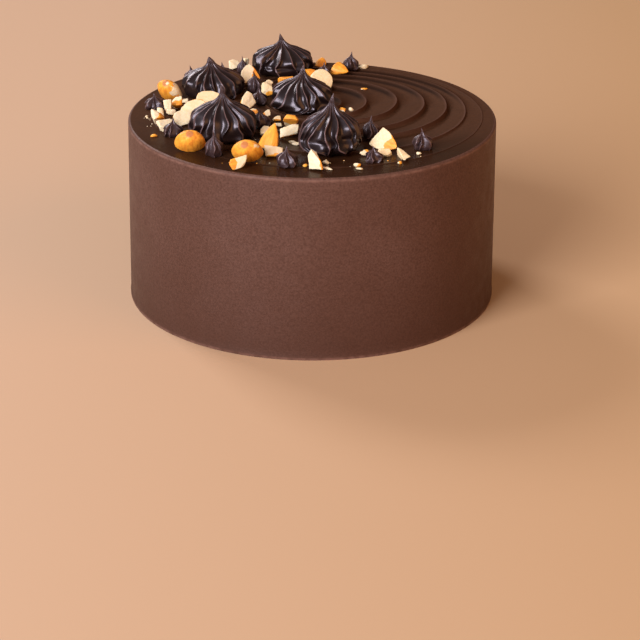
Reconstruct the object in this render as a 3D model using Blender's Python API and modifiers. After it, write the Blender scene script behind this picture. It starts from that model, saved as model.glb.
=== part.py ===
"""Chocolate almond cake: a round cake under dark ganache, its top combed in arcs,
with piped ganache dollops and pieces of chopped almond on it.

The cake is turned with a Screw modifier and its top is then combed. Each dollop is
turned the same way and then fluted, twisted and bent. An almond piece is a whole
almond cut by planes. Every topping is lowered until it rests on what lies below it.
Metres, +Z up, the origin at the centre of the cake's underside.
"""

import math
import random
from collections import namedtuple

import bmesh
import bpy
from mathutils import Euler, Matrix, Vector
from mathutils.bvhtree import BVHTree

MM = 0.001
CAKE_NAME = "chocolate_almond_cake"
SEED = 7

# The cake. It widens a little towards its foot.
CAKE_RADIUS = 81 * MM
CAKE_HEIGHT = 81 * MM
MIDDLE_RADIUS = 81.4 * MM
FOOT_RADIUS = 81.8 * MM
FOOT_FLARE = 0.2 * MM
FOOT_HEIGHT = 2 * MM
LIP = 1.6 * MM
LIP_STEPS = 3
CAKE_STEPS = 80

# The combed top: crests that are circles with centres off the axis, as (x, y, radius),
# with a hollow valley between each and the next. It is lower where a hand smoothed it.
CRESTS = (
    (2 * MM, 16 * MM, 11 * MM),
    (2.4 * MM, 18.6 * MM, 22 * MM),
    (8 * MM, 20.5 * MM, 30 * MM),
    (9.5 * MM, 18.4 * MM, 40.5 * MM),
    (12.4 * MM, 16.2 * MM, 47.5 * MM),
    (7.5 * MM, 10.5 * MM, 60.5 * MM),
    (2.2 * MM, 4.2 * MM, 72.8 * MM),
    (0.0, 0.0, CAKE_RADIUS - LIP),
)
VALLEY_DEPTH = 1.3 * MM
DEEPEST_ANGLE = math.radians(25)
SHALLOWEST = 0.35
DOME = 1.2 * MM
RINGS_PER_VALLEY = 3

# Touching pieces keep this gap, and a fused chip sinks this far.
GAP = 0.4 * MM
CHIP_SINK = 0.7 * MM

# Outline of a piped dollop from the tip down, as parts of its radius and height.
DOLLOP_OUTLINE = (
    (0.00, 1.00),
    (0.07, 0.90),
    (0.15, 0.78),
    (0.34, 0.66),
    (0.60, 0.57),
    (0.86, 0.46),
    (0.97, 0.33),
    (1.00, 0.18),
    (0.93, 0.06),
    (0.74, 0.00),
)
FLUTE_DEPTH = 0.13
FLUTE_UNEVEN = 0.2
LUMP = 0.035

# x, y, width and height; how slender the neck is; twist of the ridges down the body and
# curl at the foot in degrees; direction of the bent tip in degrees and how far it bends.
Dollop = namedtuple("Dollop", "x y width height neck twist curl bend_to bend")
LARGE_FLUTES = 16
LARGE_DOLLOPS = (
    Dollop(-45 * MM, 29 * MM, 28.6 * MM, 17.5 * MM, 0.72, 8, 6, 185, 1.6 * MM),
    Dollop(-14 * MM, 65 * MM, 29.4 * MM, 18.2 * MM, 0.95, -6, 4, 180, 1.3 * MM),
    Dollop(-38 * MM, -29 * MM, 29.6 * MM, 23.0 * MM, 1.0, 7, 8, 160, 1.0 * MM),
    Dollop(-4.5 * MM, 8.7 * MM, 29.0 * MM, 19.7 * MM, 0.9, 10, -28, 60, 1.2 * MM),
    Dollop(7.6 * MM, -45 * MM, 27.4 * MM, 24.4 * MM, 0.9, -9, 20, 20, 1.4 * MM),
)

# x, y, width, height and direction of the bent tip of each small one.
Small = namedtuple("Small", "x y width height bend_to")
SMALL_FLUTES = 7
SMALL_NECK = 0.85
SMALL_TWIST = 12
SMALL_BEND = 0.9 * MM
SMALL_DOLLOPS = (
    Small(-69.7 * MM, 9.5 * MM, 10.2 * MM, 6.9 * MM, 150),
    Small(-59.7 * MM, -28 * MM, 9.2 * MM, 8.0 * MM, 60),
    Small(-40.8 * MM, -53.5 * MM, 8.2 * MM, 11.0 * MM, 140),
    Small(-10.5 * MM, -65.5 * MM, 10.6 * MM, 8.4 * MM, 90),
    Small(25.6 * MM, -59.2 * MM, 8.6 * MM, 6.9 * MM, 120),
    Small(25.0 * MM, -31 * MM, 8.4 * MM, 9.8 * MM, 70),
    Small(-26.0 * MM, 32.4 * MM, 8.4 * MM, 9.8 * MM, 180),
    Small(-23.6 * MM, 14.6 * MM, 7.8 * MM, 7.4 * MM, 110),
    Small(-22.4 * MM, -16.2 * MM, 8.8 * MM, 7.9 * MM, 200),
    Small(-32.4 * MM, 62 * MM, 6.0 * MM, 8.8 * MM, 120),
    Small(5.4 * MM, 57.2 * MM, 6.6 * MM, 6.8 * MM, 90),
    Small(18.0 * MM, 69 * MM, 8.0 * MM, 8.6 * MM, 60),
    Small(-55.5 * MM, 47 * MM, 8.0 * MM, 8.4 * MM, 170),
    Small(46.7 * MM, -43 * MM, 9.2 * MM, 9.2 * MM, 150),
    Small(-41.5 * MM, 53 * MM, 8.0 * MM, 8.2 * MM, 120),
)

# A whole almond: blunt at -X, pointed at +X.
ALMOND_LENGTH = 24 * MM
ALMOND_WIDTH = 13.5 * MM
ALMOND_THICK = 8.6 * MM
ALMOND_SIDES = 10
ALMOND_RINGS = 8
BLUNT_POWER = 0.45
POINT_POWER = 0.85
CUT_WANDER = math.radians(14)

# Where a piece lies and its size beside the whole almond, how it is turned about Z, how
# far its pointed end is raised and its roll, in degrees; then what the cuts leave along
# the length, width and thickness of a whole almond, where None leaves the skin. In mm.
Nut = namedtuple("Nut", "x y size turn raised roll length width thick")
WHOLE = (None, None)
NUTS = (
    Nut(-64.6, 21.8, 0.88, 70, -50, 12, (None, -1), WHOLE, WHOLE),
    Nut(-60.0, 7.6, 0.82, 100, -55, 0, (4, None), (-3, 3), (None, 1.5)),
    Nut(-63.4, 2.0, 0.74, 80, 72, 0, (-4.4, 4.2), (-2, 2), (-2, 2)),
    Nut(-61.8, -2.4, 0.62, 20, 0, 10, (-2.6, 2.6), (-2.4, 2.4), (-2, 2)),
    Nut(-56.8, 17.2, 0.56, -20, 0, 0, (-3, 3.6), (-2, 2), (-1, 2)),
    Nut(-66.6, -2.4, 0.62, 90, 60, 20, (-3.4, 3.0), (-2.5, 2.5), (-2, 2)),
    Nut(-67.8, -14.6, 0.60, 110, 35, 50, (-5, 5), (-4, None), (-3, None)),
    Nut(-63.4, -20.2, 0.62, 25, 5, 45, (-5.4, 6.4), (-4, 4), (-4, 0)),
    Nut(-56.6, -13.5, 0.64, 25, 5, 50, (None, 4), (-5, 5), (None, 0)),
    Nut(-51.4, -1.2, 0.58, 196, -8, -50, WHOLE, WHOLE, (None, 0)),
    Nut(-46.0, 12.0, 0.60, 4, 5, 58, WHOLE, WHOLE, (None, 0)),
    Nut(-51.4, -47.8, 0.98, 92, -50, 0, (None, -3), WHOLE, WHOLE),
    Nut(-28.3, 6.5, 0.68, 70, 35, 60, (-5, 6), (-4, 5.5), (None, 0.5)),
    Nut(-26.0, -4.0, 0.56, -25, 10, 20, (-4, 5), (-4, 4), (1, None)),
    Nut(-20.0, -4.0, 0.68, -25, 5, 40, (3, None), (-4, 4), (None, 0)),
    Nut(-15.2, -11.0, 0.62, 10, 0, 20, (-2.5, 2.5), (-2.2, 2.2), (-2, 1)),
    Nut(-14.8, -17.0, 0.60, 8, 0, 0, (-2.4, 2.4), (-1.2, 1.2), (-1.2, 1.2)),
    Nut(-8.8, -19.4, 0.66, -15, 8, -38, (-5, 5.4), (-5.6, 5.6), (-1.5, None)),
    Nut(-9.2, -29.4, 0.72, 8, 5, 48, (-6.6, 6.4), (-3, 3.0), (None, 0)),
    Nut(-19.2, -28.0, 0.58, 5, 0, 46, (-6.4, 4), (-3, 4), (None, 0)),
    Nut(-17.5, -46.4, 0.70, 54, 60, 0, (-4.3, None), WHOLE, WHOLE),
    Nut(-27.2, -62.2, 0.98, 80, -42, -8, (None, -3), WHOLE, WHOLE),
    Nut(-29.6, -69.0, 0.68, 10, 0, 64, (-5.6, 5.2), (-3.8, 3.0), (-2.4, 0.2)),
    Nut(-15.6, -55.0, 0.72, 12, 6, 60, (-5.6, 6.8), (-4, 4), (1, None)),
    Nut(-37.0, 67.8, 0.80, 20, 0, 75, (-3.2, 3.2), (-2.6, 2.8), (-2, 1)),
    Nut(-31.6, 71.6, 0.66, 70, 70, 60, (-3.2, 3.2), (-2.2, 2.2), (-2, 1)),
    Nut(-29.3, 44.0, 0.80, 94, 60, 0, (-2.2, None), WHOLE, (None, 0)),
    Nut(-19.9, 39.2, 0.50, 30, 40, 50, (-3.4, 3.2), (-3, 3), (-2, 1)),
    Nut(-20.8, 26.2, 0.60, -80, -50, 0, (-6, 5), (-4, 4), (None, 1)),
    Nut(-12.2, 39.8, 0.66, 15, 8, -46, (-5, 6), WHOLE, (0.5, None)),
    Nut(4.2, 74.6, 0.52, 60, 50, 30, (-4, 6.4), WHOLE, (1, None)),
    Nut(14.0, 60.0, 0.66, -32, -5, 35, (1, None), WHOLE, (-1, None)),
    Nut(3.8, 40.5, 0.78, -85, -20, 0, (None, 2), WHOLE, (None, 0)),
    Nut(-0.6, 52.5, 0.56, 40, 10, 20, (-4, 5), (-5, 5), (0, None)),
    Nut(0.9, -68.8, 0.72, 100, 62, -20, (-2, None), (-4, 4), (None, 0.5)),
    Nut(30.9, -43.8, 0.70, -40, -14, 56, (-5.6, None), WHOLE, (None, 0)),
    Nut(22.4, -51.6, 0.48, 38, 0, 30, (-3.5, 4), (-3, 3), (-2, 1)),
    Nut(30.9, -51.8, 0.54, -10, 0, 50, (-6.4, 4.4), (-3.5, 3), (-2, 2)),
    Nut(37.4, -57.0, 0.80, -62, 0, 0, (-9, 7), (-2, 3), (-1, 1)),
)

# x and y of each small chip that is fused to the cake, its length, width and height,
# and its turn in degrees. All in millimetres.
Chip = namedtuple("Chip", "x y long wide high turn")
CHIPS = (
    Chip(-67.6, -29.5, 3.4, 2.0, 1.4, 20),
    Chip(-72.6, -3.3, 2.0, 1.6, 1.2, 70),
    Chip(-2.9, -66.8, 2.2, 1.8, 1.3, 10),
    Chip(5.8, -63.5, 3.2, 2.4, 2.0, -40),
    Chip(6.4, -69.6, 4.6, 1.8, 1.1, -35),
    Chip(18.5, -66.2, 3.6, 1.8, 1.8, -15),
    Chip(19.6, -69.6, 3.8, 2.0, 1.2, -20),
    Chip(44.8, -50.6, 2.2, 2.0, 1.4, 0),
    Chip(36.4, -62.0, 2.0, 1.6, 1.2, 30),
    Chip(-8.4, -36.8, 4.2, 1.7, 1.4, 5),
    Chip(-7.0, -39.6, 4.4, 1.7, 1.4, 2),
    Chip(13.4, 7.6, 4.0, 2.8, 2.6, -40),
    Chip(17.2, 6.2, 3.2, 1.8, 1.6, -50),
    Chip(24.2, 71.5, 2.6, 1.8, 1.0, 15),
    Chip(23.6, 41.1, 3.0, 1.4, 1.0, 30),
    Chip(-48.8, 49.8, 3.4, 2.6, 2.2, 40),
)


def material(name, colour, roughness):
    made = bpy.data.materials.new(name)
    made.use_nodes = True
    shader = made.node_tree.nodes["Principled BSDF"]
    shader.inputs["Base Color"].default_value = (*colour, 1.0)
    shader.inputs["Roughness"].default_value = roughness
    shader.inputs["Metallic"].default_value = 0.0
    made.diffuse_color = (*colour, 1.0)
    return made


def new_object(name, mesh, finish, collection):
    made = bpy.data.objects.new(name, mesh)
    mesh.materials.clear()
    mesh.materials.append(finish)
    collection.objects.link(made)
    return made


def turned(name, outline, steps, collection, finish):
    """Turns an outline of (radius, height) points, top first, into a closed mesh object."""
    wire = bpy.data.meshes.new(name + "_outline")
    points = [(radius, 0.0, height) for radius, height in outline]
    wire.from_pydata(points, [(i, i + 1) for i in range(len(points) - 1)], [])
    source = bpy.data.objects.new(name + "_outline", wire)
    collection.objects.link(source)
    screw = source.modifiers.new("turn", "SCREW")
    screw.steps = steps
    screw.render_steps = steps
    screw.use_merge_vertices = True
    screw.merge_threshold = 0.00001
    graph = bpy.context.evaluated_depsgraph_get()
    mesh = bpy.data.meshes.new_from_object(source.evaluated_get(graph))
    mesh.name = name
    bpy.data.objects.remove(source)
    bpy.data.meshes.remove(wire)
    return new_object(name, mesh, finish, collection)


def close(body):
    """Welds the seam, points the faces outward and splits them into triangles."""
    work = bmesh.new()
    work.from_mesh(body.data)
    bmesh.ops.remove_doubles(work, verts=work.verts, dist=0.005 * MM)
    bmesh.ops.recalc_face_normals(work, faces=work.faces)
    bmesh.ops.triangulate(work, faces=work.faces)
    work.to_mesh(body.data)
    work.free()


# The cake


def crest_offset(radius):
    """Centre of the circle of this radius, and how far it lies from crest to crest."""
    inner = (CRESTS[0][0], CRESTS[0][1], 0.0)
    for outer in CRESTS:
        if radius <= outer[2] + 0.001 * MM:
            part = (radius - inner[2]) / (outer[2] - inner[2])
            centre_x = inner[0] + part * (outer[0] - inner[0])
            centre_y = inner[1] + part * (outer[1] - inner[1])
            return centre_x, centre_y, min(max(part, 0.0), 1.0)
        inner = outer
    return 0.0, 0.0, 0.0


def comb(point):
    """Moves a point of the flat top onto the combed one."""
    radius = math.hypot(point.x, point.y)
    angle = math.atan2(point.y, point.x)
    centre_x, centre_y, part = crest_offset(radius)
    evenness = 0.5 + 0.5 * math.cos(angle - DEEPEST_ANGLE)
    depth = VALLEY_DEPTH * (SHALLOWEST + (1 - SHALLOWEST) * evenness)
    point.x = centre_x + radius * math.cos(angle)
    point.y = centre_y + radius * math.sin(angle)
    from_axis = math.hypot(point.x, point.y) / CAKE_RADIUS
    point.z += DOME * (1 - from_axis**2) - depth * 4 * part * (1 - part)


def cake_outline():
    rings = [(0.0, CAKE_HEIGHT)]
    inner = 0.0
    for _, _, crest in CRESTS:
        for step in range(1, RINGS_PER_VALLEY + 1):
            rings.append((inner + (crest - inner) * step / RINGS_PER_VALLEY, CAKE_HEIGHT))
        inner = crest
    for step in range(1, LIP_STEPS + 1):
        angle = math.pi / 2 * (1 - step / LIP_STEPS)
        radius = CAKE_RADIUS - LIP + LIP * math.cos(angle)
        rings.append((radius, CAKE_HEIGHT - LIP + LIP * math.sin(angle)))
    rings.append((MIDDLE_RADIUS, CAKE_HEIGHT / 2))
    rings.append((FOOT_RADIUS, FOOT_HEIGHT))
    rings.append((FOOT_RADIUS + FOOT_FLARE, FOOT_HEIGHT / 2))
    rings.append((FOOT_RADIUS + FOOT_FLARE, 0.0))
    rings.append((0.0, 0.0))
    return rings


def make_cake(collection):
    ganache = material("ganache", (0.085, 0.038, 0.024), 0.35)
    cake = turned("cake", cake_outline(), CAKE_STEPS, collection, ganache)
    for vertex in cake.data.vertices:
        if vertex.co.z > CAKE_HEIGHT - 0.001 * MM:
            comb(vertex.co)
    close(cake)
    return cake


# Resting one thing on another


def inflated(body, by):
    """World points and faces of an object, moved out along its normals."""
    mesh = body.data
    place = body.matrix_world
    turn = place.to_3x3()
    points = [place @ v.co + (turn @ v.normal).normalized() * by for v in mesh.vertices]
    return points, [tuple(face.vertices) for face in mesh.polygons]


def probes(points, faces):
    """The points, the middle of each edge and the middle of each face."""
    found = list(points)
    for face in faces:
        corners = [points[i] for i in face]
        found.append(sum(corners, Vector()) / len(corners))
        found += [(a + b) / 2 for a, b in zip(corners, corners[1:] + corners[:1])]
    return found


def lower_onto(body, below, gap):
    """Lowers a body until it lies the gap above everything in below."""
    down = Vector((0, 0, -1))
    points, faces = inflated(body, gap)
    own_tree = BVHTree.FromPolygons(points, faces)
    low = [min(p[i] for p in points) for i in range(2)]
    high = [max(p[i] for p in points) for i in range(2)]
    falls = []
    for other in below:
        other_points, other_faces = inflated(other, 0.0)
        tree = BVHTree.FromPolygons(other_points, other_faces)
        for probe in probes(points, faces):
            distance = tree.ray_cast(probe, down)[3]
            if distance is not None:
                falls.append(distance)
        for probe in probes(other_points, other_faces):
            if low[0] < probe.x < high[0] and low[1] < probe.y < high[1]:
                distance = own_tree.ray_cast(probe, -down)[3]
                if distance is not None:
                    falls.append(distance)
    body.location.z -= min(falls)
    bpy.context.view_layer.update()


# Dollops


def flute(point, dollop, flutes, depth, draw):
    """Moves a point of the turned form onto the fluted, twisted and bent one."""
    radius = math.hypot(point.x, point.y)
    height = point.z / dollop.height
    angle = math.atan2(point.y, point.x)
    part = (angle / math.tau * flutes) % 1.0
    valley = 4 * part * (1 - part)
    radius *= 1 - depth * valley * min(1.0, 4 * (1 - height))
    radius *= 1 + LUMP * math.sin(2 * angle + draw) * math.sin(math.pi * (1 - height))
    angle += FLUTE_UNEVEN / flutes * math.tau * math.sin(3 * angle + 2 * draw)
    angle += math.radians(dollop.twist) * math.sin(math.pi * min(1.0, 1.6 * height))
    angle += math.radians(dollop.curl) * max(0.0, 1 - 4 * height) ** 2
    bend = dollop.bend * height**5
    point.x = radius * math.cos(angle) + bend * math.cos(math.radians(dollop.bend_to))
    point.y = radius * math.sin(angle) + bend * math.sin(math.radians(dollop.bend_to))


def make_dollop(name, dollop, flutes, depth, outline, finish, collection, draw):
    half, tall = dollop.width / 2, dollop.height
    points = [(part**dollop.neck * half, rise * tall) for part, rise in outline]
    body = turned(name, points + [(0.0, 0.0)], 2 * flutes, collection, finish)
    for vertex in body.data.vertices:
        if math.hypot(vertex.co.x, vertex.co.y) > 0.001 * MM or vertex.co.z > MM:
            flute(vertex.co, dollop, flutes, depth, draw)
    close(body)
    body.location = (dollop.x, dollop.y, 2 * CAKE_HEIGHT)
    bpy.context.view_layer.update()
    return body


def make_large_dollops(collection, finish, below):
    made = []
    for index, dollop in enumerate(LARGE_DOLLOPS, 1):
        name = f"large_dollop_{index}"
        body = make_dollop(
            name, dollop, LARGE_FLUTES, FLUTE_DEPTH, DOLLOP_OUTLINE, finish, collection, index
        )
        lower_onto(body, below, GAP)
        made.append(body)
    return made


def make_small_dollops(collection, finish, below):
    made = []
    outline = DOLLOP_OUTLINE[:1] + DOLLOP_OUTLINE[2::2] + DOLLOP_OUTLINE[-1:]
    for index, small in enumerate(SMALL_DOLLOPS, 1):
        dollop = Dollop(*small[:4], SMALL_NECK, SMALL_TWIST, 0, small.bend_to, SMALL_BEND)
        name = f"small_dollop_{index:02d}"
        body = make_dollop(
            name, dollop, SMALL_FLUTES, 2 * FLUTE_DEPTH, outline, finish, collection, index
        )
        lower_onto(body, below, GAP)
        made.append(body)
    return made


# Almonds


def whole_almond():
    """A whole almond as a bmesh, its long axis on X."""
    work = bmesh.new()
    bmesh.ops.create_uvsphere(
        work, u_segments=ALMOND_SIDES, v_segments=ALMOND_RINGS, radius=1.0
    )
    widest = BLUNT_POWER / (BLUNT_POWER + POINT_POWER)
    most = widest**BLUNT_POWER * (1 - widest) ** POINT_POWER
    for vertex in work.verts:
        along = min(max((vertex.co.z + 1) / 2, 0.0), 1.0)
        girth = along**BLUNT_POWER * (1 - along) ** POINT_POWER / most
        around = math.atan2(vertex.co.y, vertex.co.x)
        vertex.co = (
            (along - 0.5) * ALMOND_LENGTH,
            girth * ALMOND_WIDTH / 2 * math.cos(around),
            girth * ALMOND_THICK / 2 * math.sin(around),
        )
    bmesh.ops.recalc_face_normals(work, faces=work.faces)
    return work


def cut(work, axis, at, keep_above, draw):
    """Cuts the almond by a plane across an axis, a little askew, and closes it."""
    normal = Vector()
    normal[axis] = -1.0 if keep_above else 1.0
    skew = [draw.uniform(-CUT_WANDER, CUT_WANDER) for _ in range(3)]
    normal.rotate(Euler(skew))
    point = Vector()
    point[axis] = at * MM
    parts = work.verts[:] + work.edges[:] + work.faces[:]
    bmesh.ops.bisect_plane(
        work, geom=parts, plane_co=point, plane_no=normal, clear_outer=True
    )
    rim = [edge for edge in work.edges if edge.is_boundary]
    if rim:
        bmesh.ops.contextual_create(work, geom=rim)


def make_almond(name, nut, finish, collection, draw):
    work = whole_almond()
    for axis, limits in enumerate((nut.length, nut.width, nut.thick)):
        for limit, keep_above in zip(limits, (True, False)):
            if limit is not None:
                cut(work, axis, limit, keep_above, draw)
    corners = [vertex.co for vertex in work.verts]
    middle = sum(corners, Vector()) / len(corners)
    bmesh.ops.translate(work, vec=-middle, verts=work.verts)
    bmesh.ops.scale(work, vec=Vector((1, 1, 1)) * nut.size, verts=work.verts)
    bmesh.ops.remove_doubles(work, verts=work.verts, dist=0.15 * MM)
    bmesh.ops.recalc_face_normals(work, faces=work.faces)
    bmesh.ops.triangulate(work, faces=work.faces)
    mesh = bpy.data.meshes.new(name)
    work.to_mesh(mesh)
    work.free()
    body = new_object(name, mesh, finish, collection)
    turn = Matrix.Rotation(math.radians(nut.turn), 4, "Z")
    raised = Matrix.Rotation(-math.radians(nut.raised), 4, "Y")
    roll = Matrix.Rotation(math.radians(nut.roll), 4, "X")
    place = Matrix.Translation((nut.x * MM, nut.y * MM, 2 * CAKE_HEIGHT))
    body.matrix_world = place @ turn @ raised @ roll
    bpy.context.view_layer.update()
    return body


def make_almonds(collection, below):
    skin = material("almond", (0.72, 0.31, 0.07), 0.5)
    below = list(below)
    for index, nut in enumerate(NUTS, 1):
        name = f"almond_{index:02d}"
        body = make_almond(name, nut, skin, collection, random.Random(SEED + index))
        lower_onto(body, below, GAP)
        below.append(body)


# Chips that are fused to the cake


def make_chip(index, chip, finish, collection, draw):
    """A small block with uneven corners."""
    work = bmesh.new()
    bmesh.ops.create_cube(work, size=1.0)
    size = Vector((chip.long, chip.wide, chip.high)) * MM
    for vertex in work.verts:
        uneven = [draw.uniform(0.6, 1.1) for _ in range(3)]
        vertex.co = [vertex.co[i] * size[i] * uneven[i] for i in range(3)]
    bmesh.ops.triangulate(work, faces=work.faces)
    mesh = bpy.data.meshes.new(f"chip_{index:02d}")
    work.to_mesh(mesh)
    work.free()
    body = new_object(mesh.name, mesh, finish, collection)
    body.location = (chip.x * MM, chip.y * MM, 2 * CAKE_HEIGHT)
    body.rotation_euler.z = math.radians(chip.turn)
    bpy.context.view_layer.update()
    return body


def fuse_chips(cake):
    """Joins the chips to the cake with one Boolean union and removes them."""
    chips = bpy.data.collections.new("chips")
    bpy.context.scene.collection.children.link(chips)
    finish = cake.data.materials[0]
    for index, chip in enumerate(CHIPS, 1):
        draw = random.Random(SEED + index)
        body = make_chip(index, chip, finish, chips, draw)
        lower_onto(body, [cake], 0.0)
        body.location.z -= CHIP_SINK
    join = cake.modifiers.new("chips", "BOOLEAN")
    join.operation = "UNION"
    join.operand_type = "COLLECTION"
    join.collection = chips
    join.solver = "EXACT"
    graph = bpy.context.evaluated_depsgraph_get()
    joined = bpy.data.meshes.new_from_object(cake.evaluated_get(graph))
    cake.modifiers.clear()
    bare = cake.data
    cake.data = joined
    bpy.data.meshes.remove(bare)
    joined.name = "cake"
    for body in list(chips.objects):
        bpy.data.objects.remove(body)
    bpy.data.collections.remove(chips)
    close(cake)


def smooth(body, sharp_above):
    body.data.shade_smooth()
    body.data.set_sharp_from_angle(angle=math.radians(sharp_above))


def main():
    for old in list(bpy.data.objects):
        bpy.data.objects.remove(old)
    parts = bpy.data.collections.new(CAKE_NAME)
    bpy.context.scene.collection.children.link(parts)
    piped = material("piped_ganache", (0.018, 0.011, 0.011), 0.28)
    cake = make_cake(parts)
    large = make_large_dollops(parts, piped, [cake])
    small = make_small_dollops(parts, piped, [cake])
    make_almonds(parts, [cake] + large + small)
    fuse_chips(cake)
    for body in parts.objects:
        smooth(body, 35)


main()
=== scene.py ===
"""Finish and lighting of the chocolate almond cake.

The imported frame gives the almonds' places and the dollops' heights. The cake and its
dollops are turned, combed and fluted again with finer steps, and the almonds are cut
again from a finer almond.
Metres, +Z up, the origin at the centre of the cake's underside.
"""

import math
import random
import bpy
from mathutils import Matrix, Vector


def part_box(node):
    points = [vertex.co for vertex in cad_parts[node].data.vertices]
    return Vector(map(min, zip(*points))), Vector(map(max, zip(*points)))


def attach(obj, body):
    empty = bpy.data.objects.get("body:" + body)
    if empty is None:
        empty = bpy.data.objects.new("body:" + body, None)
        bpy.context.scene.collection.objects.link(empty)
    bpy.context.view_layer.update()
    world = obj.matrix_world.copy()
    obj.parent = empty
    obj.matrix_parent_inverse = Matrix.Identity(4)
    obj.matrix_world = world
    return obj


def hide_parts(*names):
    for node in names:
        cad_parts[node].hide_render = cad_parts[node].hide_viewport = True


bl_info = {
    "name": "Chocolate Almond Cake",
    "version": (1, 0, 0),
    "blender": (4, 5, 0),
    "location": "3D View > Sidebar > Cake",
    "description": "Builds a ganache cake with piped dollops and chopped almonds",
    "category": "Object",
}

from collections import namedtuple

import bmesh
import bpy
from bpy.props import FloatProperty, FloatVectorProperty, IntProperty, PointerProperty
from mathutils import Euler, Matrix, Vector, noise
from mathutils.bvhtree import BVHTree

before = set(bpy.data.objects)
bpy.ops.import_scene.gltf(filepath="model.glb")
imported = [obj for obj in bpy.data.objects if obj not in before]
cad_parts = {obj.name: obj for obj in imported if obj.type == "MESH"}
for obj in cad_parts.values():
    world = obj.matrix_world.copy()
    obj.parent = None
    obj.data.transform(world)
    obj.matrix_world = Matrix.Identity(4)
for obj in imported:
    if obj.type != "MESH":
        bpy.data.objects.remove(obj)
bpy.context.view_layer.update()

MM = 0.001
TINY = 0.001 * MM
SEED = 7

# The cake's sizes. Its lip is finer than in the solids.
CAKE_RADIUS = 81 * MM
CAKE_HEIGHT = 81 * MM
FOOT_RADIUS = 81.8 * MM
FOOT_FLARE = 0.2 * MM
FOOT_HEIGHT = 2 * MM
LIP = 1.1 * MM
DOME = 1.2 * MM
DENT = 0.12 * MM
DENTS_PER_METRE = 120
SIDE_SWAY = 0.0022

# Crests of the comb: circles as (x, y, radius), the last one at the rim.
CRESTS = (
    (2 * MM, 16 * MM, 11 * MM),
    (2.4 * MM, 18.6 * MM, 22 * MM),
    (8 * MM, 20.5 * MM, 30 * MM),
    (9.5 * MM, 18.4 * MM, 40.5 * MM),
    (12.4 * MM, 16.2 * MM, 47.5 * MM),
    (7.5 * MM, 10.5 * MM, 60.5 * MM),
    (2.2 * MM, 4.2 * MM, 72.8 * MM),
    (0.0, 0.0, CAKE_RADIUS - LIP),
)
# Bands between crests, counted from the centre, that are combed less than the others.
SHALLOW_BANDS = {0: 0.7, 6: 0.4, 7: 0.12}

# Directions are anticlockwise from +X. The valleys are deepest towards the first one, and
# past the second one their steep side moves from their inner to their outer edge.
DEEPEST_ANGLE = math.radians(-10)
BEHIND_FROM = math.radians(-3)
SHALLOWEST = 0.35
LEAN_BEHIND = 2.05

# The glossy part lies round this direction, and it ends sooner at the left.
WETTEST_ANGLE = math.radians(250)
WET_RIGHT = math.radians(93)
WET_LEFT = math.radians(78)
WET_FADE = math.radians(50)
SMOOTH_ANGLE = math.radians(-36)
SMOOTH_WIDE = math.radians(26)

# Outline of a dollop from the tip down, as parts of its radius and height.
DOLLOP_OUTLINE = (
    (0.00, 1.00), (0.07, 0.90), (0.15, 0.78), (0.34, 0.66), (0.60, 0.57),
    (0.86, 0.46), (0.97, 0.33), (1.00, 0.18), (0.93, 0.06), (0.74, 0.00),
)
FLUTE_DEPTH = 0.13
FLUTE_UNEVEN = 0.2
LUMP = 0.035

# Lengths in mm, angles in degrees.
Dollop = namedtuple("Dollop", "x y width height neck twist curl bend_to bend")
LARGE_FLUTES = 16
LARGE_DOLLOPS = (
    Dollop(-45, 29, 28.6, 17.5, 0.72, 8, 6, 185, 1.6),
    Dollop(-14, 65, 29.4, 18.2, 0.95, -6, 4, 180, 1.3),
    Dollop(-38, -29, 29.6, 23.0, 1.0, 7, 8, 160, 1.0),
    Dollop(-4.5, 8.7, 29.0, 19.7, 0.9, 10, -28, 60, 1.2),
    Dollop(7.6, -45, 27.4, 24.4, 0.9, -9, 20, 20, 1.4),
)

# Places where a dollop swells or folds in: direction and width in degrees, height and
# spread as parts of the dollop's height, and how far out as a part of its radius.
Swell = namedtuple("Swell", "towards wide height tall out")
SWELLS = {
    1: (Swell(250, 24, 0.12, 0.07, 0.05), Swell(300, 20, 0.10, 0.06, 0.06)),
    2: (Swell(262, 34, 0.26, 0.04, -0.05), Swell(300, 30, 0.40, 0.08, 0.04)),
    3: (Swell(300, 22, 0.07, 0.06, 0.07), Swell(248, 24, 0.10, 0.07, 0.05)),
    4: (
        Swell(222, 34, 0.22, 0.15, 0.10),
        Swell(232, 44, 0.06, 0.04, -0.06),
        Swell(285, 30, 0.10, 0.07, 0.07),
    ),
    5: (
        Swell(318, 24, 0.12, 0.09, 0.13),
        Swell(308, 22, 0.28, 0.05, -0.10),
        Swell(240, 30, 0.14, 0.05, 0.07),
        Swell(255, 18, 0.24, 0.04, -0.06),
    ),
}

# x, y, width, height, and where the tip bends to. The rest is the same for all.
SMALL_FLUTES = 7
SMALL_FLUTE_DEPTH = 0.26
# How much paler the small dollops are: a painted sheen.
SMALL_PALER = 3.3
SMALL_DRIER = 0.08
SMALL_NECK = 0.85
SMALL_TWIST = 12
SMALL_BEND = 0.9
SMALL_DOLLOPS = (
    (-69.7, 9.5, 10.2, 6.9, 150),
    (-59.7, -28, 9.2, 8.0, 60),
    (-40.8, -53.5, 8.2, 11.0, 140),
    (-10.5, -65.5, 10.6, 8.4, 90),
    (25.6, -59.2, 8.6, 6.9, 120),
    (25.0, -31, 8.4, 9.8, 70),
    (-26.0, 32.4, 8.4, 9.8, 180),
    (-23.6, 14.6, 7.8, 7.4, 110),
    (-22.4, -16.2, 8.8, 7.9, 200),
    (-32.4, 62, 6.0, 8.8, 120),
    (5.4, 57.2, 6.6, 6.8, 90),
    (18.0, 69, 8.0, 8.6, 60),
    (-55.5, 47, 8.0, 8.4, 170),
    (46.7, -43, 9.2, 9.2, 150),
    (-41.5, 53, 8.0, 8.2, 120),
)

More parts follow.
